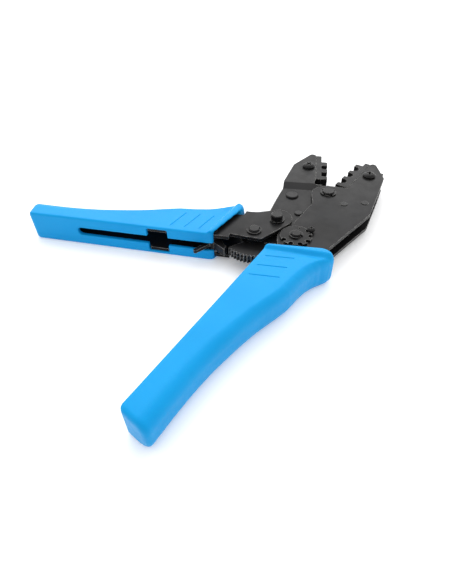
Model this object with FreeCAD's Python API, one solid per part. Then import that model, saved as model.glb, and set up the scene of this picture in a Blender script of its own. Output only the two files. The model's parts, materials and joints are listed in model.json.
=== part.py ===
import FreeCAD, Part
import math
import os
from FreeCAD import Vector

# Ratchet crimping tool, lying flat with its handles open.  Millimetres.
# Origin: jaw pivot axis, half way through the tool's thickness.  +Z up, the fixed
# handle along -X, the jaws towards +X, the moving handle on the +Y side.

# ---- linkage: pivots in the open position ----
JAW_PIVOT = (0.0, 0.0)
HANDLE_PIVOT = (-44.4, 12.7)      # handle on moving jaw
LINK_PIVOT = (-59.8, 18.5)        # toggle link on handle
ADJUSTER_AXIS = (-51.3, -2.4)     # toggle link on frame
JAW_CLOSING = 26.2                # degrees, clockwise
HANDLE_CLOSING = 71.4             # degrees against the frame, anticlockwise
LINK_CLOSING = 34.0               # degrees against the frame, clockwise

# ---- stack of layers, heights above the mid-plane ----
PLATE = 1.9                       # thickness of every pressed plate
GAP = 0.05                        # running gap between sliding faces
JAW_IN = 1.5                      # moving jaw plate, inner face
JAW_OUT = JAW_IN + PLATE
FRAME_IN = JAW_OUT + GAP          # frame plate, inner face
FRAME_OUT = FRAME_IN + PLATE
HANDLE_IN = FRAME_OUT + 0.1       # handle plate, inner face
HANDLE_OUT = HANDLE_IN + PLATE
LINK_HALF = 2.4                   # each of the two link leaves, half thickness of the pawl
TONGUE_HALF = FRAME_IN - GAP      # die tongue between its two plates
RUN = 0.05                        # radial running clearance of every hinge
EDGE_BREAK = 0.2                  # chamfer on the outer edges of plates and dies

# ---- pins and rings ----
JAW_PIN_R = 3.6
HANDLE_PIN_R = 3.2
LINK_PIN_R = 2.9
HEAD_EXTRA = 1.2                  # pin head radius over pin radius
HEAD_H = 1.0
RING_EXTRA = 1.1                  # ring radius over pin radius
RING_T = 0.8
GROOVE = 0.6
TIP_H = 0.9                       # pin tip standing above its ring
HANDLE_TIP_H = 2.9

# ---- adjuster ----
ECCENTRIC = 0.35
CAM_R = 3.0
CAM_JOURNAL_R = 3.5
CAM_TAIL_R = 2.6
CAM_STUB_R = 2.6
STAR_R = 8.6
STAR_T = 1.2
STAR_NOTCHES = 6                   # along the part of the rim that the lock screw can hold
STAR_NOTCH_FIRST = 149.0
STAR_NOTCH_PITCH = 36.0
STAR_NOTCH_R = 1.35
STAR_NOTCH_IN = 0.8               # notch centres inside the rim
INDEX_HOLE_R = 0.6
LOCK_SCREW = (-43.0, -7.4)
LOCK_SCREW_R = 1.0

# ---- dies ----
FIXED_SEAT = 7.2                  # die seat below the pivot, frame side
FIXED_SEAT_ANGLE = -3.9
MOVING_SEAT = 7.9                 # die seat above the pivot, moving side
MOVING_SEAT_ANGLE = FIXED_SEAT_ANGLE + JAW_CLOSING
STRIP = 3.6                       # solid back of each die
TOOTH_TOP = 8.15                  # tooth tip above its seat
PITCH = 9.5
FIRST_TOOTH = 13.9
DIE_SCREW_R = 2.0

# ---- ratchet ----
SECTOR_R = 16.5
TOOTH_H = 1.2
TEETH = 14
SECTOR_START = 152.0
SECTOR_END = 252.0
PAWL_PIN = (-70.9, 37.4)
PAWL_PIN_R = 2.0

# ---- springs ----
WIRE = 0.6
SPRING_TURNS = 1.75

# ---- grips: u runs from tail to mouth along the straight inner edge, v outwards ----
GRIP_LEN = 109.3
GRIP_HALF_MOUTH = 9.0
GRIP_HALF_TAIL = 8.9
LEVEL_FROM = 92.0                 # broad faces are level from here to the mouth
CROWN = 0.15                      # trimmed off the broad faces where they are level
OUTER_ROUND = 6.0
LIP_ROUND = 4.2
LIP_FROM = 100.0                  # the outer rounding tightens from here to the mouth
INNER_ROUND = 1.1
INNER_FLARE = 1.0                 # the inner edge leans out by this much at the tail
INNER_TAIL = -1.0
FIXED_TAIL = (-178.7, 5.8)
MOVING_TAIL = (-111.1, 138.7)
MOVING_ANGLE = -HANDLE_CLOSING
WALL = 1.85                       # inner wall of the grip
SLOT_HALF = 2.5
SLOT_START = 28.8
WINDOW = (71.8, 83.7)
MOUTH_FLARE = 0.4                # pocket opened out by this much above the moving plates
MOUTH_FLARE_DEEP = 4.0

os.makedirs("parts", exist_ok=True)


# ---------------------------------------------------------------- shape helpers

def turned(point, degrees, centre=(0.0, 0.0)):
    a = math.radians(degrees)
    dx = point[0] - centre[0]
    dy = point[1] - centre[1]
    x = centre[0] + dx * math.cos(a) - dy * math.sin(a)
    y = centre[1] + dx * math.sin(a) + dy * math.cos(a)
    return (x, y)


def polar(centre, radius, degrees):
    a = math.radians(degrees)
    return (centre[0] + radius * math.cos(a), centre[1] + radius * math.sin(a))


def face_of(points):
    """Flat face at z = 0 from (x, y) or (x, y, corner radius) points."""
    count = len(points)
    edges = []
    ends = []
    for i in range(count):
        corner = Vector(points[i][0], points[i][1], 0)
        radius = points[i][2] if len(points[i]) > 2 else 0.0
        before = Vector(points[i - 1][0], points[i - 1][1], 0) - corner
        after = Vector(points[(i + 1) % count][0], points[(i + 1) % count][1], 0) - corner
        if radius <= 0:
            ends.append((corner, corner))
            continue
        before.normalize()
        after.normalize()
        half = before.getAngle(after) / 2
        run = radius / math.tan(half)
        middle = (before + after).normalize()
        centre = corner + middle * (radius / math.sin(half))
        first = corner + before * run
        last = corner + after * run
        edges.append(Part.Arc(first, centre - middle * radius, last).toShape())
        ends.append((first, last))
    for i in range(count):
        start = ends[i - 1][1]
        stop = ends[i][0]
        if start.distanceToPoint(stop) > 1e-6:
            edges.append(Part.LineSegment(start, stop).toShape())
    return Part.Face(Part.Wire(Part.__sortEdges__(edges)))


def slab(points, low, high):
    face = face_of(points)
    face.translate(Vector(0, 0, low))
    return face.extrude(Vector(0, 0, high - low))


def disc(centre, radius, low, high):
    return Part.makeCylinder(radius, high - low, Vector(centre[0], centre[1], low))


def fused(shapes):
    body = shapes[0].multiFuse(shapes[1:]) if len(shapes) > 1 else shapes[0]
    return body.removeSplitter()


def mirrored(shape):
    return shape.mirror(Vector(0, 0, 0), Vector(0, 0, 1))


def export(name, shape):
    shape.exportStep("parts/" + name + ".step")


def group(shapes):
    return Part.makeCompound(shapes)


# ---------------------------------------------------------------- fasteners

def pin(centre, radius, bottom, ring_at, tip):
    """Headed pin, head below, groove for a retaining ring above."""
    top = ring_at + RING_T + tip
    shank = disc(centre, radius, bottom, top)
    head = disc(centre, radius + HEAD_EXTRA, bottom - HEAD_H, bottom)
    groove = disc(centre, radius + 1, ring_at, ring_at + RING_T)
    groove = groove.cut(disc(centre, radius - GROOVE, ring_at, ring_at + RING_T))
    body = shank.fuse(head).removeSplitter().cut(groove)
    return body.makeChamfer(0.4, rims_at(body, top))


def rims_at(body, height):
    return [e for e in body.Edges if abs(e.BoundBox.ZMin - height) < 1e-6 and e.BoundBox.ZLength < 1e-6]


def eased(body, *heights):
    """Body with the sharp rims at the given heights broken."""
    rims = []
    for height in heights:
        rims += rims_at(body, height)
    return body.makeChamfer(EDGE_BREAK, rims)


def e_ring(centre, radius, low, opening):
    reach = radius + RING_EXTRA
    ring = disc(centre, reach, low, low + RING_T)
    ring = ring.cut(disc(centre, radius - GROOVE + 0.02, low, low + RING_T))
    mouth = Part.makeBox(reach + 1, 2 * radius - 1.9, RING_T, Vector(0, 0.95 - radius, 0))
    for side in (60, 180, 300):
        relief = disc(polar((0, 0), radius + 0.1, side + 60), 0.7, 0, RING_T)
        mouth = mouth.fuse(relief)
    mouth.rotate(Vector(0, 0, 0), Vector(0, 0, 1), opening)
    mouth.translate(Vector(centre[0], centre[1], low))
    return ring.cut(mouth)


def cross_recess(centre, top, depth, reach, turn):
    arms = []
    for extra in (0, 90):
        arm = Part.makeBox(2 * reach, 0.28 * reach * 2, depth + 1, Vector(-reach, -0.28 * reach, 0))
        arm.rotate(Vector(0, 0, 0), Vector(0, 0, 1), turn + extra)
        arms.append(arm)
    recess = arms[0].fuse(arms[1])
    recess.translate(Vector(centre[0], centre[1], top - depth))
    return recess


def pan_screw(centre, shank_r, head_r, seat, head_h, end, turn):
    """Pan-head screw with a cross recess; head above the seat, shank down to end."""
    edge_h = 0.45 * head_h
    profile = Part.Wire([
        Part.LineSegment(Vector(0, 0, seat), Vector(head_r, 0, seat)).toShape(),
        Part.LineSegment(Vector(head_r, 0, seat), Vector(head_r, 0, seat + edge_h)).toShape(),
        Part.Arc(Vector(head_r, 0, seat + edge_h), Vector(0.72 * head_r, 0, seat + 0.86 * head_h),
                 Vector(0, 0, seat + head_h)).toShape(),
        Part.LineSegment(Vector(0, 0, seat + head_h), Vector(0, 0, seat)).toShape()])
    head = Part.Face(profile).revolve(Vector(0, 0, 0), Vector(0, 0, 1), 360)
    head.translate(Vector(centre[0], centre[1], 0))
    body = head.fuse(disc(centre, shank_r, end, seat)).removeSplitter()
    return body.cut(cross_recess(centre, seat + head_h, 0.62 * head_h, 0.5 * head_r, turn))


def hex_nut(centre, bore_r, flat, low, high, turn):
    corners = [polar(centre, flat / math.sqrt(3), turn + 60 * i) for i in range(6)]
    return slab(corners, low, high).cut(disc(centre, bore_r, low, high))


def dome_rivet(centre, shank_r, head_r, half, head_h):
    """Shouldered rivet that holds the two jaw plates apart, low dome on both sides."""
    body = [disc(centre, shank_r, -half, half), disc(centre, head_r, -JAW_IN, JAW_IN)]
    for side in (1, -1):
        dome = Part.makeCylinder(head_r, head_h, Vector(centre[0], centre[1], 0))
        dome = dome.makeFillet(0.85 * head_h, rims_at(dome, head_h))
        dome.translate(Vector(0, 0, half))
        body.append(dome if side > 0 else mirrored(dome))
    return fused(body)


# ---------------------------------------------------------------- grip coordinates

def on_fixed(u, v):
    return (FIXED_TAIL[0] + u, FIXED_TAIL[1] - v)


def on_moving(u, v):
    x, y = turned((u, v), MOVING_ANGLE)
    return (MOVING_TAIL[0] + x, MOVING_TAIL[1] + y)


def tang(place, grow):
    """Plate end inside a grip, as outline points in grip coordinates."""
    inner = WALL + 0.15 - grow
    points = [(108.2, inner), (12 - grow, inner), (12 - grow, 8.5 + grow), (40, 9.9 + grow),
              (58, 12.8 + grow), (80, 18.6 + grow), (104, 22.4 + grow)]
    return [place(u, v) for u, v in points]


def tab_slab(place, low, high):
    corners = [(WINDOW[0] + 0.7, 0.7), (WINDOW[1] - 0.7, 0.7), (WINDOW[1] - 0.7, 4), (WINDOW[0] + 0.7, 4)]
    return slab([place(u, v) for u, v in corners], low, high)


TANG_HOLES = ((88.0, 11.0), (20.5, 5.4))
TANG_RIVET_R = 2.0
TANG_SLEEVE_R = 3.2


# ---------------------------------------------------------------- frame

def seat_point(angle, drop, along, up):
    """Point on a die seat: along the seat from the pivot's foot, up from the seat."""
    a = math.radians(angle)
    x = along * math.cos(a) - (drop + up) * math.sin(a)
    y = along * math.sin(a) + (drop + up) * math.cos(a)
    return (x, y)


def fixed_die_point(along, up):
    return seat_point(FIXED_SEAT_ANGLE, -FIXED_SEAT, along, up)


def moving_die_point(along, up):
    return seat_point(MOVING_SEAT_ANGLE, MOVING_SEAT, along, -up)


FIXED_SCREW = fixed_die_point(33.1, -5.4)
MOVING_SCREW = moving_die_point(32.4, -5.0)
DOWELS = ((-7.4, -12.8), (-0.3, -22.9))
DOWEL_R = 2.0


def frame_plate():
    head = [(-51.8, 8.6, 9), (-44.2, 4.6, 3), (-25.3, 4.0), (-15.2, 3.7, 4), (4.9, 14.1, 9.9),
            (11.3, -8.03, 0.3), (50.6, -10.7, 1.8), (49.0, -14.3, 2.0), (34.6, -23.9, 3), (19.3, -26.0, 6),
            (-11.1, -29.6, 8), (-33.6, -25.0, 6), (-53.5, -21.1), on_fixed(122.6, 26.4),
            on_fixed(121.9, 24.2)]
    tail = tang(on_fixed, 0)
    outline = head + tail[::-1] + [(-62.0, 3.4)]
    plate = slab(outline, FRAME_IN, FRAME_OUT)
    plate = plate.fuse(tab_slab(on_fixed, FRAME_IN, FRAME_OUT)).removeSplitter()
    cutters = [disc(JAW_PIVOT, JAW_PIN_R, 0, 9), disc(FIXED_SCREW, DIE_SCREW_R, 0, 9)]
    cutters += [disc(d, DOWEL_R, 0, 9) for d in DOWELS]
    cutters += [disc(on_fixed(u, v), TANG_RIVET_R, 0, 9) for u, v in TANG_HOLES]
    return plate.cut(cutters[0].multiFuse(cutters[1:]))


def frame_plate_front():
    plate = frame_plate().cut(disc(ADJUSTER_AXIS, CAM_JOURNAL_R + RUN, 0, 9))
    return eased(plate.cut(disc(LOCK_SCREW, LOCK_SCREW_R, 0, 9)), FRAME_OUT)


def frame_plate_rear():
    plate = frame_plate().cut(disc(ADJUSTER_AXIS, CAM_TAIL_R + RUN, 0, 9))
    return mirrored(eased(plate, FRAME_OUT))


def frame_spacer():
    points = [(-13.5, -12.5, 2), (-2.0, -10.9, 2), (6.0, -13.0, 2), (10.0, -18.0, 2), (7.0, -24.5, 2),
              (-9.0, -26.0, 2)]
    block = slab(points, -FRAME_IN, FRAME_IN)
    for d in DOWELS:
        block = block.cut(disc(d, DOWEL_R, -FRAME_IN, FRAME_IN))
    return block


def frame_dowels():
    return group([disc(d, DOWEL_R, -FRAME_OUT - 0.3, FRAME_OUT + 0.3) for d in DOWELS])


def tang_rivets(place, inner, outer):
    rivets = []
    for u, v in TANG_HOLES:
        sleeve = disc(place(u, v), TANG_SLEEVE_R, -inner, inner)
        shank = disc(place(u, v), TANG_RIVET_R, -outer, outer)
        rivets.append(fused([shank, sleeve]))
    return group(rivets)


def jaw_pivot_pin():
    return pin(JAW_PIVOT, JAW_PIN_R, -FRAME_OUT, FRAME_OUT, TIP_H)


# ---------------------------------------------------------------- dies

def die(point, length, start, notch_shape):
    """Flat-backed die head with a tongue, its working edge cut by notch_shape."""
    head = slab([point(start, 0), point(start + length, 0), point(start + length, TOOTH_TOP),
                 point(start, TOOTH_TOP)], -FRAME_OUT, FRAME_OUT)
    tongue = slab([point(20, 0.5), point(20, -11), point(45, -11), point(45, 0.5)], -TONGUE_HALF, TONGUE_HALF)
    return fused([head.cut(notch_shape), tongue])


def fixed_nests():
    """Round-bottomed nests, smaller towards the pivot."""
    cuts = []
    for i in range(3):
        middle = FIRST_TOOTH + PITCH * (i + 0.5)
        radius = 2.55 + 0.3 * i
        bottom = TOOTH_TOP - 4.4 + radius
        cuts.append(disc(fixed_die_point(middle, bottom), radius, -9, 9))
        wide = radius + 0.5
        mouth = [(middle - radius, bottom), (middle + radius, bottom), (middle + wide, TOOTH_TOP + 1),
                 (middle - wide, TOOTH_TOP + 1)]
        cuts.append(slab([fixed_die_point(a, b) for a, b in mouth], -9, 9))
    far = FIRST_TOOTH + 3 * PITCH + 1.9
    step = [(far, STRIP), (far + 9, STRIP), (far + 9, 12), (far, 12)]
    cuts.append(slab([fixed_die_point(a, b) for a, b in step], -9, 9))
    return cuts[0].multiFuse(cuts[1:])


def fixed_die():
    body = die(fixed_die_point, 36.6, 12.2, fixed_nests())
    return eased(body.cut(disc(FIXED_SCREW, DIE_SCREW_R, -9, 9)), FRAME_OUT, -FRAME_OUT)


def punch(i):
    """One punch with a double-curl tip, matching nest i."""
    middle = FIRST_TOOTH + PITCH * (i + 0.5)
    half = 2.1 + 0.28 * i
    base = STRIP - 0.2
    sides = [(middle - half, base), (middle - half, TOOTH_TOP, 0.9), (middle, TOOTH_TOP - 1.5),
             (middle + half, TOOTH_TOP, 0.9), (middle + half, base)]
    points = []
    for p in sides:
        x, y = moving_die_point(p[0], p[1])
        points.append((x, y) + tuple(p[2:]))
    return slab(points, -FRAME_OUT, FRAME_OUT)


def moving_die():
    start = 16.6
    head = slab([moving_die_point(start, 0), moving_die_point(49.2, 0), moving_die_point(49.2, STRIP),
                 moving_die_point(start, STRIP)], -FRAME_OUT, FRAME_OUT)
    tongue = slab([moving_die_point(20, 0.5), moving_die_point(20, -11), moving_die_point(45, -11),
                   moving_die_point(45, 0.5)], -TONGUE_HALF, TONGUE_HALF)
    body = fused([head, tongue] + [punch(i) for i in range(3)])
    return eased(body.cut(disc(MOVING_SCREW, DIE_SCREW_R, -9, 9)), FRAME_OUT, -FRAME_OUT)


def die_screw(centre, turn):
    return pan_screw(centre, DIE_SCREW_R, 4.0, FRAME_OUT, 2.3, -FRAME_OUT - 3.0, turn)


def die_nut(centre, turn):
    return hex_nut(centre, DIE_SCREW_R, 7.0, -FRAME_OUT - 3.0, -FRAME_OUT, turn)


# ---------------------------------------------------------------- moving jaw

JAW_RIVET_LARGE = (-11.1, 18.9)
JAW_RIVET_SMALL = (-27.1, 7.1)
JOGGLE = (5.6, 11.0)              # joggle, measured along the die seat from the pivot
JOGGLE_SHIFT = 0.6                # outer bend lines against the inner ones
JAW_EYE_R = 6.3
JAW_BOSS_R = 9.6
HEAD_ROOM_R = 10.2


def jaw_outline(low, high):
    top = turned((HANDLE_PIVOT[0], HANDLE_PIVOT[1] + JAW_EYE_R), 22, HANDLE_PIVOT)
    foot = turned((HANDLE_PIVOT[0], HANDLE_PIVOT[1] - JAW_EYE_R), -14, HANDLE_PIVOT)
    points = [top, foot, (-7.0, -6.6), (6.8, -6.8), (9.5, 1.4), (5.6, 12.2, 2), moving_die_point(15.3, 0),
              moving_die_point(50.2, 0) + (2.0,), moving_die_point(52.2, -3.4) + (2.0,),
              (23.6, 34.4, 3), (0.6, 30.3), (-5.9, 27.8), (-20.0, 25.4), (-31.6, 23.1, 5)]
    body = slab(points[::-1], low, high)
    return body


def jaw_level():
    """Layer that steps outwards across the joggle, seen along the die seat."""
    steps = [(-80, JAW_IN), (JOGGLE[0], JAW_IN), (JOGGLE[1], FRAME_IN), (80, FRAME_IN), (80, FRAME_OUT),
             (JOGGLE[1] - JOGGLE_SHIFT, FRAME_OUT), (JOGGLE[0] - JOGGLE_SHIFT, JAW_OUT), (-80, JAW_OUT)]
    wire = Part.makePolygon([Vector(s, -60, z) for s, z in steps + steps[:1]])
    body = Part.Face(wire).extrude(Vector(0, 120, 0))
    body.rotate(Vector(0, 0, 0), Vector(0, 0, 1), MOVING_SEAT_ANGLE)
    return body


def head_room():
    """Space that the raised side leaves round the frame plate's head."""
    side = Part.makeBox(40, 120, 9, Vector(JOGGLE[0] - JOGGLE_SHIFT, -60, 0))
    side.rotate(Vector(0, 0, 0), Vector(0, 0, 1), MOVING_SEAT_ANGLE)
    return disc(JAW_PIVOT, HEAD_ROOM_R, 0, 9).common(side)


def moving_jaw_plate():
    body = jaw_outline(0, FRAME_OUT).common(jaw_level()).cut(head_room())
    eye = disc(HANDLE_PIVOT, JAW_EYE_R, JAW_IN, JAW_OUT)
    boss = disc(JAW_PIVOT, JAW_BOSS_R, JAW_IN, JAW_OUT)
    body = fused([body, eye, boss])
    cutters = [disc(JAW_PIVOT, JAW_PIN_R + RUN, 0, 9), disc(HANDLE_PIVOT, HANDLE_PIN_R + RUN, 0, 9),
               disc(JAW_RIVET_LARGE, 2.5, 0, 9), disc(JAW_RIVET_SMALL, 1.75, 0, 9),
               disc(MOVING_SCREW, DIE_SCREW_R, 0, 9)]
    return eased(body.cut(cutters[0].multiFuse(cutters[1:])), FRAME_OUT)


def jaw_spacers():
    at_jaw = sleeve(JAW_PIVOT, 6.4, JAW_PIN_R + RUN, -JAW_IN, JAW_IN)
    at_handle = sleeve(HANDLE_PIVOT, 5.2, HANDLE_PIN_R + RUN, -JAW_IN, JAW_IN)
    return group([at_jaw, at_handle])


# ---------------------------------------------------------------- moving handle

def handle_plate():
    head = [(-64.6, 11.6, 2), (-34.2, 1.4, 8.6), (-34.2, 15.8, 4), (-43.4, 26.2, 12), on_moving(122.4, 28.2),
            on_moving(121.7, 24.2)]
    tail = tang(on_moving, 0)
    shoulder = [on_moving(118.0, WALL + 0.15), on_moving(118.0, 5.0)]
    outline = head + tail[::-1] + shoulder
    plate = slab(outline, HANDLE_IN, HANDLE_OUT)
    plate = plate.fuse(tab_slab(on_moving, HANDLE_IN, HANDLE_OUT)).removeSplitter()
    cutters = [disc(HANDLE_PIVOT, HANDLE_PIN_R, 0, 9), disc(LINK_PIVOT, LINK_PIN_R, 0, 9),
               disc(PAWL_PIN, PAWL_PIN_R, 0, 9)]
    cutters += [disc(on_moving(u, v), TANG_RIVET_R, 0, 9) for u, v in TANG_HOLES]
    return eased(plate.cut(cutters[0].multiFuse(cutters[1:])), HANDLE_OUT)


def sleeve(centre, radius, inner, low, high):
    return disc(centre, radius, low, high).cut(disc(centre, inner, low, high))


def handle_pivot_spacers():
    front = sleeve(HANDLE_PIVOT, 4.9, HANDLE_PIN_R, JAW_OUT + 0.04, HANDLE_IN)
    return group([front, mirrored(front)])


def link_spacers():
    front = sleeve(LINK_PIVOT, 5.0, LINK_PIN_R, LINK_HALF + 0.05, HANDLE_IN)
    return group([front, mirrored(front)])


def pawl_spacer():
    return sleeve(PAWL_PIN, 3.4, PAWL_PIN_R, LINK_HALF + 0.05, HANDLE_IN)


def pawl_pin():
    return disc(PAWL_PIN, PAWL_PIN_R, -HANDLE_OUT, HANDLE_OUT)


def handle_pin(centre, radius, tip):
    return pin(centre, radius, -HANDLE_OUT, HANDLE_OUT, tip)


# ---------------------------------------------------------------- toggle link and ratchet

def cam_path():
    """Places of the adjuster axis seen from the link while the tool closes."""
    places = []
    for part in (0.0, 0.2, 0.4, 0.6, 0.8, 1.0):
        pivot = turned(HANDLE_PIVOT, -JAW_CLOSING * part)
        arm = turned(LINK_PIVOT, HANDLE_CLOSING * part, HANDLE_PIVOT)
        dx = arm[0] - HANDLE_PIVOT[0]
        dy = arm[1] - HANDLE_PIVOT[1]
        link = (pivot[0] + dx, pivot[1] + dy)
        seen = turned(ADJUSTER_AXIS, LINK_CLOSING * part, link)
        places.append((seen[0] - link[0] + LINK_PIVOT[0], seen[1] - link[1] + LINK_PIVOT[1]))
    return places


def around_path(radius, low, high):
    places = cam_path()
    body = [slab(places, low, high)]
    for i in range(len(places)):
        body.append(disc(places[i], radius, low, high))
        if i > 0:
            body.append(bar(places[i - 1], places[i], radius, low, high))
    return fused(body)


def bar(start, stop, half_width, low, high):
    dx = stop[0] - start[0]
    dy = stop[1] - start[1]
    length = math.hypot(dx, dy)
    nx = -dy / length * half_width
    ny = dx / length * half_width
    corners = [(start[0] - nx, start[1] - ny), (stop[0] - nx, stop[1] - ny),
               (stop[0] + nx, stop[1] + ny), (start[0] + nx, start[1] + ny)]
    return slab(corners, low, high)


def sector_outline():
    """Toothed sector about the link pivot."""
    pitch = (SECTOR_END - SECTOR_START) / TEETH
    root = SECTOR_R - TOOTH_H
    points = [LINK_PIVOT]
    for i in range(TEETH):
        a = SECTOR_START + pitch * i
        points.append(polar(LINK_PIVOT, root, a))
        points.append(polar(LINK_PIVOT, SECTOR_R, a + 0.25 * pitch))
        points.append(polar(LINK_PIVOT, SECTOR_R, a + 0.45 * pitch))
    points.append(polar(LINK_PIVOT, root, SECTOR_END))
    points.append(polar(LINK_PIVOT, root, SECTOR_END + 8))
    return points


def toggle_link_leaf():
    """One of two equal leaves: eye at the adjuster, arm, hub and toothed sector."""
    eye = around_path(CAM_R + ECCENTRIC + 2.3, 0, LINK_HALF)
    window = around_path(CAM_R + ECCENTRIC + 0.2, 0, LINK_HALF)
    hub = disc(LINK_PIVOT, 7.0, 0, LINK_HALF)
    arm = bar(LINK_PIVOT, cam_path()[0], 3.6, 0, LINK_HALF)
    sector = slab(sector_outline(), 0, LINK_HALF)
    body = fused([hub, arm, eye, sector])
    return body.cut(window.fuse(disc(LINK_PIVOT, LINK_PIN_R + RUN, 0, 9)))


NOSE_ANGLE = 146.0
LEVER_TIP = (-83.2, 41.6)
LEVER_R = 1.1
LEVER_HALF = 0.9


def release_pawl():
    nose = polar(LINK_PIVOT, SECTOR_R + 0.12, NOSE_ANGLE)
    back = polar(LINK_PIVOT, SECTOR_R + 2.6, NOSE_ANGLE + 7)
    heel = polar(LINK_PIVOT, SECTOR_R + 0.7, NOSE_ANGLE - 5)
    finger = [nose, heel, (PAWL_PIN[0] + 2.6, PAWL_PIN[1] - 2.0), (PAWL_PIN[0] - 2.6, PAWL_PIN[1] + 1.0),
              back]
    body = [slab(finger, -LINK_HALF, LINK_HALF), disc(PAWL_PIN, 4.0, -LINK_HALF, LINK_HALF)]
    body.append(bar(PAWL_PIN, LEVER_TIP, LEVER_R, -LEVER_HALF, LEVER_HALF))
    body.append(disc(LEVER_TIP, LEVER_R, -LEVER_HALF, LEVER_HALF))
    return fused(body).cut(disc(PAWL_PIN, PAWL_PIN_R + RUN, -9, 9))


def torsion_spring(centre, radius, low, first, leg):
    """Coil with two straight legs, axis along Z; the first leg leaves at angle first."""
    pitch = WIRE * 1.06
    helix = Part.makeHelix(pitch, pitch * SPRING_TURNS, radius)
    circle = Part.Wire(Part.makeCircle(WIRE / 2, Vector(radius, 0, 0), Vector(0, 1, 0)))
    coil = Part.Wire(helix).makePipeShell([circle], True, True)
    coil.rotate(Vector(0, 0, 0), Vector(0, 0, 1), first)
    coil.translate(Vector(centre[0], centre[1], low + WIRE / 2))
    parts = [coil]
    for angle, height, turn in ((first, 0, -90), (first + 360 * SPRING_TURNS, pitch * SPRING_TURNS, 90)):
        foot = polar(centre, radius, angle)
        start = Vector(foot[0], foot[1], low + WIRE / 2 + height)
        way = polar((0, 0), 1, angle + turn)
        parts.append(Part.makeCylinder(WIRE / 2, leg, start, Vector(way[0], way[1], 0)))
    return fused(parts)


def pawl_spring():
    return torsion_spring(PAWL_PIN, 3.0, -HANDLE_IN + 0.15, 200, 3.5)


def return_spring():
    return torsion_spring(LINK_PIVOT, 5.8, -HANDLE_IN + 0.15, 215, 4.0)


# ---------------------------------------------------------------- adjuster

def adjuster_pin():
    offset = (ADJUSTER_AXIS[0], ADJUSTER_AXIS[1] + ECCENTRIC)
    top = FRAME_OUT + GAP + STAR_T + RING_T + TIP_H
    ring = FRAME_OUT + GAP + STAR_T
    parts = [disc(ADJUSTER_AXIS, CAM_TAIL_R, -FRAME_OUT - 0.6, -LINK_HALF - 0.05),
             disc(offset, CAM_R, -LINK_HALF - 0.05, LINK_HALF + 0.05),
             disc(ADJUSTER_AXIS, CAM_JOURNAL_R, LINK_HALF + 0.05, FRAME_OUT + GAP),
             disc(ADJUSTER_AXIS, CAM_STUB_R, FRAME_OUT + GAP, top)]
    body = fused(parts)
    groove = disc(ADJUSTER_AXIS, CAM_STUB_R + 1, ring, ring + RING_T)
    body = body.cut(groove.cut(disc(ADJUSTER_AXIS, CAM_STUB_R - GROOVE, ring, ring + RING_T)))
    return body.makeChamfer(0.4, rims_at(body, top))


def star_wheel():
    low = FRAME_OUT + GAP
    wheel = disc(ADJUSTER_AXIS, STAR_R, low, low + STAR_T)
    cutters = [disc(ADJUSTER_AXIS, CAM_STUB_R, low, low + STAR_T)]
    for i in range(STAR_NOTCHES):
        angle = STAR_NOTCH_FIRST + STAR_NOTCH_PITCH * i
        place = polar(ADJUSTER_AXIS, STAR_R - STAR_NOTCH_IN, angle)
        cutters.append(disc(place, STAR_NOTCH_R, low, low + STAR_T))
    cutters.append(disc(polar(ADJUSTER_AXIS, STAR_R - 1.7, 9), INDEX_HOLE_R, low, low + STAR_T))
    return wheel.cut(cutters[0].multiFuse(cutters[1:]))


def adjuster_lock_screw():
    seat = FRAME_OUT + GAP + STAR_T + 0.05
    return pan_screw(LOCK_SCREW, LOCK_SCREW_R, 2.2, seat, 1.4, FRAME_IN, 20)


# ---------------------------------------------------------------- grips

# outer edge of the grip as (u, v, inset of the section there), rounded over at the tail and at the mouth
OUTER_EDGE = [(-3.2, 13.3, 2.4), (-2.9, 13.3, 1.2), (-2.0, 13.2, 0.32), (-0.8, 13.2, 0), (12, 13.0, 0),
              (25, 13.3, 0), (38, 14.3, 0), (55, 16.9, 0), (67, 19.4, 0), (78, 22.8, 0), (86, 25.1, 0),
              (95, 25.7, 0), (103, 27.1, 0), (107, 28.3, 0), (110.5, 29.8, 0), (113, 31.6, 0),
              (115.3, 33.1, 0), (118.1, 33.6, 0), (120.1, 32.5, 0.2), (121.1, 30.7, 0.5), (121.5, 29.3, 0.9)]


def grip_section(along_grip, outer):
    """Rounded upright section from the inner edge to a point of the outer edge."""
    inset = outer[2]
    inner_u = INNER_TAIL + (GRIP_LEN - INNER_TAIL) * along_grip
    foot = Vector(inner_u, -INNER_FLARE * (1 - along_grip), 0)
    way = Vector(outer[0], outer[1], 0) - foot
    width = way.Length - 2 * inset
    way.normalize()
    foot = foot + way * inset
    share = min(1.0, max(0.0, outer[0] / LEVEL_FROM))
    half = GRIP_HALF_TAIL + (GRIP_HALF_MOUTH + CROWN - GRIP_HALF_TAIL) * share - inset

    def at(along, height):
        return foot + way * along + Vector(0, 0, height)

    a = INNER_ROUND
    lip = min(1.0, max(0.0, (outer[0] - LIP_FROM) / (OUTER_EDGE[-1][0] - LIP_FROM)))
    b = OUTER_ROUND + (LIP_ROUND - OUTER_ROUND) * lip
    corner = 1 - math.sqrt(0.5)
    arcs = [(at(0, a - half), at(corner * a, corner * a - half), at(a, -half)),
            (at(width - b, -half), at(width - corner * b, corner * b - half), at(width, b - half)),
            (at(width, half - b), at(width - corner * b, half - corner * b), at(width - b, half)),
            (at(a, half), at(corner * a, half - corner * a), at(0, half - a))]
    edges = []
    for k in range(4):
        edges.append(Part.Arc(*arcs[k]).toShape())
        edges.append(Part.LineSegment(arcs[k][2], arcs[(k + 1) % 4][0]).toShape())
    return Part.Wire(edges)


def grip_blank():
    """Solid grip, its sections turning from the square tail to the slanted mouth."""
    first = OUTER_EDGE[0][0]
    span = OUTER_EDGE[-1][0] - first
    wires = [grip_section((p[0] - first) / span, p) for p in OUTER_EDGE]
    loft = Part.makeLoft(wires, True, True)
    level = Part.makeBox(140, 60, 2 * GRIP_HALF_MOUTH, Vector(-10, -10, -GRIP_HALF_MOUTH))
    return loft.common(level)


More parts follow.
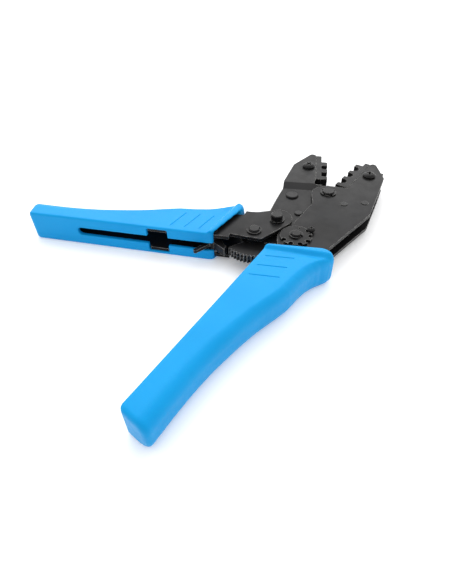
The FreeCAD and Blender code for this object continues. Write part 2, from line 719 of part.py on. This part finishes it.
def grip(room):
    """Hollow grip in grip coordinates, for plates that reach up to room from the mid-plane."""
    body = grip_blank()
    pocket = tang(lambda u, v: (u, v), 0.12)[1:]
    pocket[-1] = (101, 22.0)
    mouth = [(126, 25.7), (126, WALL)]
    body = body.cut(slab(pocket + mouth, -room, room))
    back = GRIP_LEN - MOUTH_FLARE_DEEP
    flare = [(back, WALL), (back + 9.0, 23.2)] + mouth
    flare_top = HANDLE_OUT + MOUTH_FLARE
    body = body.cut(slab(flare, -flare_top, flare_top))
    end = SLOT_START + SLOT_HALF
    slot = slab([(end, -3), (125, -3), (125, 3), (end, 3)], -SLOT_HALF, SLOT_HALF)
    slot_end = Part.makeCylinder(SLOT_HALF, 6, Vector(end, -3, 0), Vector(0, 1, 0))
    body = body.cut(slot.fuse(slot_end))
    window = slab([(WINDOW[0], -3), (WINDOW[1], -3), (WINDOW[1], 3), (WINDOW[0], 3)], -room, room)
    return body.cut(window)


def fixed_grip():
    body = grip(FRAME_OUT + 0.1).mirror(Vector(0, 0, 0), Vector(0, 1, 0))
    body.translate(Vector(FIXED_TAIL[0], FIXED_TAIL[1], 0))
    return body


def moving_grip():
    body = grip(HANDLE_OUT + 0.1)
    body.rotate(Vector(0, 0, 0), Vector(0, 0, 1), MOVING_ANGLE)
    body.translate(Vector(MOVING_TAIL[0], MOVING_TAIL[1], 0))
    return body


# ---------------------------------------------------------------- write every node

handle = handle_plate()
jaw = moving_jaw_plate()
link = toggle_link_leaf()
star_top = FRAME_OUT + GAP + STAR_T

export("frame_plate_front", frame_plate_front())
export("frame_plate_rear", frame_plate_rear())
export("frame_spacer", frame_spacer())
export("frame_dowels", frame_dowels())
export("frame_tang_rivets", tang_rivets(on_fixed, FRAME_IN, FRAME_OUT))
export("jaw_pivot_pin", jaw_pivot_pin())
export("jaw_pivot_e_ring", e_ring(JAW_PIVOT, JAW_PIN_R, FRAME_OUT, 200))
export("fixed_die", fixed_die())
export("fixed_die_screw", die_screw(FIXED_SCREW, 15))
export("fixed_die_nut", die_nut(FIXED_SCREW, 10))
export("adjuster_lock_screw", adjuster_lock_screw())
export("fixed_grip", fixed_grip())
export("moving_jaw_plate_front", jaw)
export("moving_jaw_plate_rear", mirrored(jaw))
export("jaw_rivet_large", dome_rivet(JAW_RIVET_LARGE, 2.5, 3.9, JAW_OUT, 1.1))
export("jaw_rivet_small", dome_rivet(JAW_RIVET_SMALL, 1.75, 2.5, JAW_OUT, 0.8))
export("jaw_spacers", jaw_spacers())
export("moving_die", moving_die())
export("moving_die_screw", die_screw(MOVING_SCREW, 70))
export("moving_die_nut", die_nut(MOVING_SCREW, 40))
export("handle_plate_front", handle)
export("handle_plate_rear", mirrored(handle))
export("handle_pivot_pin", handle_pin(HANDLE_PIVOT, HANDLE_PIN_R, HANDLE_TIP_H))
export("handle_pivot_e_ring", e_ring(HANDLE_PIVOT, HANDLE_PIN_R, HANDLE_OUT, 110))
export("handle_pivot_spacers", handle_pivot_spacers())
export("link_pin", handle_pin(LINK_PIVOT, LINK_PIN_R, TIP_H))
export("link_pin_e_ring", e_ring(LINK_PIVOT, LINK_PIN_R, HANDLE_OUT, 80))
export("link_pin_spacers", link_spacers())
export("handle_tang_rivets", tang_rivets(on_moving, HANDLE_IN, HANDLE_OUT))
export("pawl_pin", pawl_pin())
export("pawl_pin_spacer", pawl_spacer())
export("pawl_spring", pawl_spring())
export("return_spring", return_spring())
export("moving_grip", moving_grip())
export("toggle_link_front", link)
export("toggle_link_rear", mirrored(link))
export("release_pawl", release_pawl())
export("adjuster_star_wheel", star_wheel())
export("adjuster_eccentric_pin", adjuster_pin())
export("adjuster_e_ring", e_ring(ADJUSTER_AXIS, CAM_STUB_R, star_top, 250))
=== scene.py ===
import json
import math

import bmesh
import bpy
import numpy as np
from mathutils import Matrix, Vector


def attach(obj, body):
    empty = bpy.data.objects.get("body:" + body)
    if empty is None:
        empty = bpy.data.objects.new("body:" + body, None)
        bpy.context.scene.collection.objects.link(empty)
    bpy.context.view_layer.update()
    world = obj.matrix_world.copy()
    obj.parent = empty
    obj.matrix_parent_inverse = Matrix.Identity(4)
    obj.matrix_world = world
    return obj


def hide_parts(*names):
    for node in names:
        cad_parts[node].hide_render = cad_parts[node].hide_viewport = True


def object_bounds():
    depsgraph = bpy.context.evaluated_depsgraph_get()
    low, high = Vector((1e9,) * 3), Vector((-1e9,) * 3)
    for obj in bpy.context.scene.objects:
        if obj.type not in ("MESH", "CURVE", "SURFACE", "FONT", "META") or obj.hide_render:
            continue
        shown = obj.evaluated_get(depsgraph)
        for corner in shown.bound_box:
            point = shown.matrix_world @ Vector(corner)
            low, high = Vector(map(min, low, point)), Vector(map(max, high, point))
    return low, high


# Ratchet crimping tool, lying flat with its handles open.  Metres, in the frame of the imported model.

MM = 0.001

# ---- skin of the grips ----
VOXEL = 0.42 * MM                # size of the skin's facets
WELD = 0.002 * MM                # corners closer than this become one
EASE_ROUNDS = 5                  # smoothing passes over the skin
SAMPLE = 0.5 * MM                # the outer edge is read at this spacing along the grip
FAIRING = 3.2 * MM               # how far the outer edge's corners are spread along the grip
FACET = 0.9 * MM                 # unevenness of the skin that is averaged out first
TAIL_KEPT = (2 * MM, 8 * MM)     # fairing starts over this stretch from the tail
MOUTH_KEPT = (8 * MM, 14 * MM)   # and stops over this one before the mouth

# ---- mouth of the grips ----
LIP_WIDE = 5.2 * MM              # rounded lip round the mouth, set off by a shallow valley
VALLEY_HALF = 1.9 * MM
VALLEY_DEEP = 0.45 * MM
BEAD_RISE = 1.5 * MM             # the upper face swells into a bead along the lip
BEAD_FALL = 2.6 * MM             # length over which the bead comes down to the face
INNER_STRIP = 4 * MM             # skin this close to the inner edge shows where the mouth starts

# ---- grooves in the grips' broad faces ----
GROOVES = 3
GROOVE_PITCH = 8.1 * MM
GROOVE_FROM_MOUTH = 20.0 * MM    # outermost groove's inner end, back from the mouth's outer corner
GROOVE_NEAR = 4.7 * MM           # grooves run between these distances from the straight inner edge
GROOVE_FAR = 17.8 * MM
GROOVE_LEAN = 5.0 * MM
GROOVE_HALF = 0.42 * MM
GROOVE_DEEP = 0.32 * MM
GROOVE_MARGIN = 1.2 * MM         # facets are split this far from a groove's middle
FACE_SKIN = 1.0 * MM             # and this deep under the broad face
GROOVE_FADE = (1.6 * MM, 0.6 * MM)   # a groove deepens between these depths under the broad face

# ---- floor and light ----
FLOOR_SIDE = 6.0
FLOOR_DROP = 0.02 * MM           # gap that keeps the floor and the grips' undersides apart
FLOOR_GLOW = 0.2                 # the table is lit from below a little
BACKDROP_NEAR = 0.45             # brightness of the surroundings behind the camera
BACKDROP_FAR = 1.5               # and opposite it
BACKDROP_TILT = 0.5              # how far the brightest part stands above the horizon
SOFTBOX_PLACE = (0.47, 0.36, 0.80)
SOFTBOX_AIM = (-0.07, 0.04, 0.0)
SOFTBOX_SIDE = 1.1
SOFTBOX_POWER = 5.7

# ---- camera ----
CAMERA_TARGET = Vector((-103.2, 9.4, 1.3)) * MM
CAMERA_DISTANCE = 200.1 * MM
CAMERA_AZIMUTH = math.radians(33.4)
CAMERA_ELEVATION = math.radians(43.66)
CAMERA_ROLL = math.radians(1.823)
CAMERA_SENSOR = 36
CAMERA_LENS = 25.7
CAMERA_CLIP = 0.01

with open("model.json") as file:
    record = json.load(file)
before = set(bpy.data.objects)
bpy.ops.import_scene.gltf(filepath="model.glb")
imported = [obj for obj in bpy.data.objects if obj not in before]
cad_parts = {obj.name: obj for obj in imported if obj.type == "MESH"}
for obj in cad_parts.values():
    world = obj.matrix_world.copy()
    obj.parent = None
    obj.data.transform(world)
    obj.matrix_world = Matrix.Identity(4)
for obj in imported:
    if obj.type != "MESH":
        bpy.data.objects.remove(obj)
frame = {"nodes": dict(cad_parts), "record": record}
cad_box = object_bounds()


# ------------------------------------------------------------------ shader helpers

class Shader:
    """A Principled material being wired up, placed by the object's own coordinates."""

    def __init__(self, name):
        self.material = bpy.data.materials.new(name)
        self.material.use_nodes = True
        self.tree = self.material.node_tree
        self.surface = self.tree.nodes["Principled BSDF"]
        self.place = self.add("ShaderNodeTexCoord").outputs["Object"]

    def add(self, kind, **settings):
        node = self.tree.nodes.new(kind)
        for name, value in settings.items():
            setattr(node, name, value)
        return node

    def feed(self, socket, value):
        if isinstance(value, bpy.types.NodeSocket):
            self.tree.links.new(value, socket)
        else:
            socket.default_value = value

    def math(self, operation, *values):
        node = self.add("ShaderNodeMath", operation=operation)
        for socket, value in zip(node.inputs, values):
            self.feed(socket, value)
        return node.outputs[0]

    def noise(self, scale, detail=3.0, roughness=0.5):
        node = self.add("ShaderNodeTexNoise")
        self.feed(node.inputs["Vector"], self.place)
        node.inputs["Scale"].default_value = scale
        node.inputs["Detail"].default_value = detail
        node.inputs["Roughness"].default_value = roughness
        return node.outputs["Fac"]

    def remap(self, value, low, high, to_low=0.0, to_high=1.0):
        node = self.add("ShaderNodeMapRange", interpolation_type="SMOOTHSTEP")
        for socket, number in zip(node.inputs, (value, low, high, to_low, to_high)):
            self.feed(socket, number)
        return node.outputs[0]

    def mix(self, share, first, second):
        node = self.add("ShaderNodeMix", data_type="RGBA")
        self.feed(node.inputs["Factor"], share)
        self.feed(node.inputs[6], first)   # 6, 7 and 2 are the node's colour sockets
        self.feed(node.inputs[7], second)
        return node.outputs[2]

    def set(self, name, value):
        self.feed(self.surface.inputs[name], value)

    def rounded(self, radius, samples=6):
        """Normal that rolls over the edges, as a broken edge does."""
        node = self.add("ShaderNodeBevel", samples=samples)
        node.inputs["Radius"].default_value = radius
        return node.outputs[0]

    def edge(self, normal, low=0.008, high=0.1):
        """How far a rounded normal has turned from the flat one: 0 on faces, 1 on edges."""
        flat = self.add("ShaderNodeNewGeometry").outputs["Normal"]
        dot = self.add("ShaderNodeVectorMath", operation="DOT_PRODUCT")
        self.feed(dot.inputs[0], normal)
        self.feed(dot.inputs[1], flat)
        turned = self.math("SUBTRACT", 1.0, dot.outputs["Value"])
        return self.remap(turned, low, high)

    def bump(self, height, strength, distance, normal=None):
        node = self.add("ShaderNodeBump")
        node.inputs["Strength"].default_value = strength
        node.inputs["Distance"].default_value = distance
        self.feed(node.inputs["Height"], height)
        if normal is not None:
            self.feed(node.inputs["Normal"], normal)
        self.set("Normal", node.outputs[0])


def colour(red, green, blue):
    return (red, green, blue, 1.0)


# ------------------------------------------------------------------ materials

def black_oxide(name, tone, shine, rough, edge_radius, edge_wear_and_highlight):
    """Black-oxide steel: dark film with a mottled sheen and fine grain. Its edges are painted light grey in
    patches, partly as worn-through oxide and partly as a painted highlight.
    """
    s = Shader(name)
    film = s.remap(s.noise(55, 4, 0.55), 0.35, 0.68)
    base = s.mix(film, colour(*tone), colour(1.25 * tone[0], 1.17 * tone[1], 1.05 * tone[2]))
    base = s.mix(s.remap(s.noise(900, 3, 0.6), 0.3, 0.75, 0.0, 0.4), base, colour(0.006, 0.006, 0.006))
    normal = s.rounded(edge_radius)
    # Light grey painted along every edge in patches: partly worn-through oxide, partly a painted edge
    # highlight.
    worn_and_highlit_edge = s.math("MULTIPLY", s.edge(normal), s.remap(s.noise(260, 3, 0.6), 0.38, 0.62, 0.4 * edge_wear_and_highlight, edge_wear_and_highlight))
    s.set("Base Color", s.mix(worn_and_highlit_edge, base, colour(0.48, 0.47, 0.45)))
    s.set("Metallic", s.math("MULTIPLY", worn_and_highlit_edge, 0.5))
    s.set("Specular IOR Level", s.remap(s.noise(38, 3, 0.5), 0.3, 0.7, 0.88 * shine, 1.12 * shine))
    s.set("Roughness", s.math("ADD", rough, s.remap(s.noise(140, 3, 0.6), 0.3, 0.7, -0.06, 0.06)))
    s.bump(s.noise(2600, 2, 0.5), 0.2, 0.02 * MM, normal)
    return s.material


def blue_grip():
    """Satin injection-moulded plastic with a fine spark-eroded texture."""
    s = Shader("blue_moulded_plastic")
    drift = s.remap(s.noise(30, 2, 0.5), 0.35, 0.65)
    s.set("Base Color", s.mix(drift, colour(0.002, 0.303, 0.68), colour(0.004, 0.320, 0.71)))
    s.set("Roughness", s.math("ADD", 0.40, s.remap(s.noise(600, 3, 0.6), 0.3, 0.7, -0.05, 0.05)))
    s.set("Specular IOR Level", 0.13)
    s.set("Subsurface Weight", 0.12)
    s.set("Subsurface Radius", (0.3 * MM, 0.6 * MM, 1.0 * MM))
    s.bump(s.noise(4200, 2, 0.5), 0.18, 0.02 * MM)
    return s.material


def spring_steel():
    """Oiled spring wire, a little mottled."""
    s = Shader("oiled_spring_wire")
    film = s.remap(s.noise(500, 3, 0.5), 0.35, 0.65)
    s.set("Base Color", s.mix(film, colour(0.20, 0.19, 0.18), colour(0.33, 0.32, 0.31)))
    s.set("Metallic", 1.0)
    s.set("Roughness", s.remap(s.noise(900, 2, 0.5), 0.3, 0.7, 0.25, 0.42))
    return s.material


OXIDE = (0.008, 0.008, 0.009)
TURNED_OXIDE = (0.007, 0.007, 0.008)

# The last setting of each finish scales the light grey painted on its edges: partly wear, partly painted
# highlight.
materials = {
    "black_oxide_plate": black_oxide(
        "black_oxide_on_pressed_plate", OXIDE, shine=0.13, rough=0.36, edge_radius=0.35 * MM, edge_wear_and_highlight=1.0),
    "black_oxide_die": black_oxide(
        "black_oxide_on_machined_steel", OXIDE, shine=0.12, rough=0.32, edge_radius=0.25 * MM, edge_wear_and_highlight=1.0),
    "black_oxide_fastener": black_oxide(
        "black_oxide_on_turned_steel", TURNED_OXIDE,
        shine=0.17, rough=0.3, edge_radius=0.16 * MM, edge_wear_and_highlight=0.7),
    "spring_steel": spring_steel(),
    "blue_grip": blue_grip(),
}


def paint(piece, slot):
    piece.data.materials.clear()
    piece.data.materials.append(materials[slot])


# ------------------------------------------------------------------ grips

def opened_angle():
    """Angle that the moving handle stands open at, from the jaw's travel and the handle's coupling."""
    record = frame["record"]["behaviour"]
    travel = next(j for j in record["joints"] if j["name"] == "jaw_closing")["range_deg"][1]
    ratio = next(c for c in record["couplings"] if c["joint"] == "handle_closing")["ratio"]
    return math.radians(travel * (ratio - 1))


def skin_of(node):
    """Even quads over a CAD solid, as a new object."""
    piece = bpy.data.objects.new(node + "_moulding", frame["nodes"][node].data.copy())
    bpy.context.scene.collection.objects.link(piece)
    weld = piece.modifiers.new("weld", "WELD")
    weld.merge_threshold = WELD
    remesh = piece.modifiers.new("skin", "REMESH")
    remesh.mode = "VOXEL"
    remesh.voxel_size = VOXEL
    ease = piece.modifiers.new("ease", "SMOOTH")
    ease.factor = 0.5
    ease.iterations = EASE_ROUNDS
    graph = bpy.context.evaluated_depsgraph_get()
    mesh = bpy.data.meshes.new_from_object(piece.evaluated_get(graph))
    piece.modifiers.clear()
    piece.data = mesh
    return piece


def smoothstep(value, low, high):
    t = np.clip((value - low) / (high - low), 0, 1)
    return t * t * (3 - 2 * t)


def averaged(values, spread):
    """Values blurred by a bell of the given spread, carried on straight past both ends."""
    reach = int(3 * spread) + 1
    bell = np.exp(-0.5 * (np.arange(-reach, reach + 1) / spread) ** 2)
    carried = np.pad(values, reach, mode="reflect", reflect_type="odd")
    return np.convolve(carried, bell / bell.sum(), mode="valid")


def faired(u, v):
    """v with the outer edge's corners eased along u."""
    length = u.max() - u.min()
    bins = np.clip(((u - u.min()) / SAMPLE).astype(int), 0, int(length / SAMPLE))
    edge = np.zeros(bins.max() + 1)
    np.maximum.at(edge, bins, v)
    place = u.min() + (np.arange(len(edge)) + 0.5) * SAMPLE
    shift = np.interp(u, place, averaged(edge, FAIRING / SAMPLE) - averaged(edge, FACET / SAMPLE))
    from_tail = smoothstep(u, u.min() + TAIL_KEPT[0], u.min() + TAIL_KEPT[1])
    to_mouth = 1 - smoothstep(u, u.max() - MOUTH_KEPT[1], u.max() - MOUTH_KEPT[0])
    outer = np.maximum(np.interp(u, place, edge), SAMPLE)
    return v + shift * from_tail * to_mouth * smoothstep(v / outer, 0.35, 0.9)


def groove_lines(length):
    """Ends of the three leaning grooves on a broad face, in grip coordinates."""
    for k in range(GROOVES):
        u = length - GROOVE_FROM_MOUTH - k * GROOVE_PITCH
        yield np.array((u, GROOVE_NEAR)), np.array((u + GROOVE_LEAN, GROOVE_FAR))


def distance_to_line(u, v, start, end):
    way = end - start
    t = np.clip(((u - start[0]) * way[0] + (v - start[1]) * way[1]) / (way @ way), 0, 1)
    return np.hypot(u - start[0] - t * way[0], v - start[1] - t * way[1])


def with_lip(u, v, z):
    """Skin with a bead along the mouth's upper edge and a shallow valley behind the lip."""
    inner = u[v < INNER_STRIP].max()
    lean = (u.max() - inner) / v.max()
    back = (inner + lean * v - u) / math.hypot(1, lean)
    valley = np.exp(-((back - LIP_WIDE) / VALLEY_HALF) ** 2)
    fall = VALLEY_DEEP * valley * smoothstep(v / v.max(), 0.3, 0.75)
    flat = smoothstep(np.abs(z) / np.abs(z).max(), 0.6, 0.97)
    near = 1 - smoothstep(back, LIP_WIDE - BEAD_FALL, LIP_WIDE)
    bead = BEAD_RISE * near * smoothstep(z / z.max(), 0.35, 1.0)
    return v - fall * (1 - flat), z - np.sign(z) * fall * flat + bead


class GripFrame:
    """Grip coordinates: u from tail to mouth, v outwards from the straight inner edge."""

    def __init__(self, piece, angle, side):
        self.along = np.array((math.cos(angle), math.sin(angle)))
        self.outwards = side * np.array((-math.sin(angle), math.cos(angle)))
        flat = self.points(piece.data)[:, :2]
        self.u0 = (flat @ self.along).min()
        self.v0 = (flat @ self.outwards).min()

    @staticmethod
    def points(mesh):
        co = np.zeros(len(mesh.vertices) * 3, np.float32)
        mesh.vertices.foreach_get("co", co)
        return co.reshape(-1, 3).astype(float)

    def read(self, mesh):
        co = self.points(mesh)
        return co[:, :2] @ self.along - self.u0, co[:, :2] @ self.outwards - self.v0, co[:, 2]

    def write(self, mesh, u, v, z):
        flat = np.outer(u + self.u0, self.along) + np.outer(v + self.v0, self.outwards)
        mesh.vertices.foreach_set("co", np.column_stack((flat, z)).astype(np.float32).ravel())
        mesh.update()


def refine_near(piece, place, keep):
    """Splits the faces whose corners all satisfy keep(u, v, z)."""
    u, v, z = place.read(piece.data)
    chosen = keep(u, v, z)
    mesh = bmesh.new()
    mesh.from_mesh(piece.data)
    mesh.verts.ensure_lookup_table()
    edges = [e for e in mesh.edges if chosen[e.verts[0].index] and chosen[e.verts[1].index]]
    bmesh.ops.subdivide_edges(mesh, edges=edges, cuts=1, use_grid_fill=True)
    mesh.to_mesh(piece.data)
    mesh.free()


def moulded_grip(node, body, angle, side):
    """Grip with the mouldings that the CAD solid leaves out: faired outer edge, lip and grooves."""
    piece = skin_of(node)
    place = GripFrame(piece, angle, side)
    u, v, z = place.read(piece.data)
    v, z = with_lip(u, faired(u, v), z)
    place.write(piece.data, u, v, z)
    broad = -z.min()
    lines = list(groove_lines(u.max()))

    def near_groove(u, v, z):
        gap = np.min([distance_to_line(u, v, start, end) for start, end in lines], axis=0)
        return (gap < GROOVE_MARGIN) & (np.abs(z) > broad - FACE_SKIN)

    refine_near(piece, place, near_groove)
    refine_near(piece, place, near_groove)
    u, v, z = place.read(piece.data)
    skin = smoothstep(np.abs(z), broad - GROOVE_FADE[0], broad - GROOVE_FADE[1])
    for start, end in lines:
        gap = distance_to_line(u, v, start, end)
        fall = np.clip(1 - (gap / GROOVE_HALF) ** 2, 0, 1)
        z = z - np.sign(z) * GROOVE_DEEP * fall * skin
    place.write(piece.data, u, v, z)
    for polygon in piece.data.polygons:
        polygon.use_smooth = True
    paint(piece, "blue_grip")
    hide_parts(node)
    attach(piece, body)


# ------------------------------------------------------------------ CAD pieces

def dress_cad_nodes():
    slots = {row["node"]: row["material_slot"] for row in frame["record"]["subparts"]}
    for name, piece in frame["nodes"].items():
        paint(piece, slots[name])


# ------------------------------------------------------------------ floor, light and camera

def pale_floor(height):
    mesh = bpy.data.meshes.new("floor")
    half = FLOOR_SIDE / 2
    corners = [(-half, -half, height), (half, -half, height), (half, half, height), (-half, half, height)]
    mesh.from_pydata(corners, [], [(0, 1, 2, 3)])
    floor = bpy.data.objects.new("floor", mesh)
    bpy.context.scene.collection.objects.link(floor)
    s = Shader("pale_floor")
    s.set("Base Color", s.mix(s.noise(8, 2), colour(0.90, 0.90, 0.905), colour(0.92, 0.92, 0.925)))
    s.set("Roughness", 0.9)
    s.set("Specular IOR Level", 0.1)
    s.set("Emission Color", colour(1.0, 1.0, 1.0))
    s.set("Emission Strength", FLOOR_GLOW)
    mesh.materials.append(s.material)


def backdrop():
    """White surroundings, brightest opposite the camera."""
    world = bpy.data.worlds.new("studio")
    world.use_nodes = True
    tree = world.node_tree
    background = tree.nodes["Background"]
    background.inputs["Color"].default_value = colour(1.0, 1.0, 1.0)
    away = Vector((math.cos(CAMERA_AZIMUTH), math.sin(CAMERA_AZIMUTH), BACKDROP_TILT))
    facing = tree.nodes.new("ShaderNodeVectorMath")
    facing.operation = "DOT_PRODUCT"
    facing.inputs[1].default_value = away.normalized()
    tree.links.new(tree.nodes.new("ShaderNodeTexCoord").outputs["Generated"], facing.inputs[0])
    wall = tree.nodes.new("ShaderNodeMapRange")
    for socket, number in zip(wall.inputs[1:5], (-1.0, 1.0, BACKDROP_NEAR, BACKDROP_FAR)):
        socket.default_value = number
    tree.links.new(facing.outputs["Value"], wall.inputs["Value"])
    tree.links.new(wall.outputs["Result"], background.inputs["Strength"])
    bpy.context.scene.world = world


def softbox():
    """Square soft light above and behind the tool."""
    light = bpy.data.lights.new("back_softbox", "AREA")
    light.shape = "SQUARE"
    light.size = SOFTBOX_SIDE
    light.energy = SOFTBOX_POWER
    lamp = bpy.data.objects.new("back_softbox", light)
    lamp.location = SOFTBOX_PLACE
    way = Vector(SOFTBOX_AIM) - Vector(SOFTBOX_PLACE)
    lamp.rotation_euler = way.to_track_quat("-Z", "Y").to_euler()
    bpy.context.scene.collection.objects.link(lamp)


def camera():
    data = bpy.data.cameras.new("camera")
    data.sensor_width = CAMERA_SENSOR
    data.lens = CAMERA_LENS
    data.clip_start = CAMERA_CLIP
    view = bpy.data.objects.new("camera", data)
    level = math.cos(CAMERA_ELEVATION)
    way = Vector((level * math.cos(CAMERA_AZIMUTH), level * math.sin(CAMERA_AZIMUTH),
                  -math.sin(CAMERA_ELEVATION)))
    view.location = CAMERA_TARGET - way * CAMERA_DISTANCE
    view.rotation_euler = way.to_track_quat("-Z", "Y").to_euler()
    view.rotation_euler.rotate_axis("Z", -CAMERA_ROLL)
    bpy.context.scene.collection.objects.link(view)
    bpy.context.scene.camera = view


dress_cad_nodes()
moulded_grip("fixed_grip", "frame", 0.0, -1)
moulded_grip("moving_grip", "moving_handle", -opened_angle(), 1)
pale_floor(cad_box[0][2] - FLOOR_DROP)
backdrop()
softbox()
bpy.context.scene.view_settings.view_transform = "Standard"
camera()
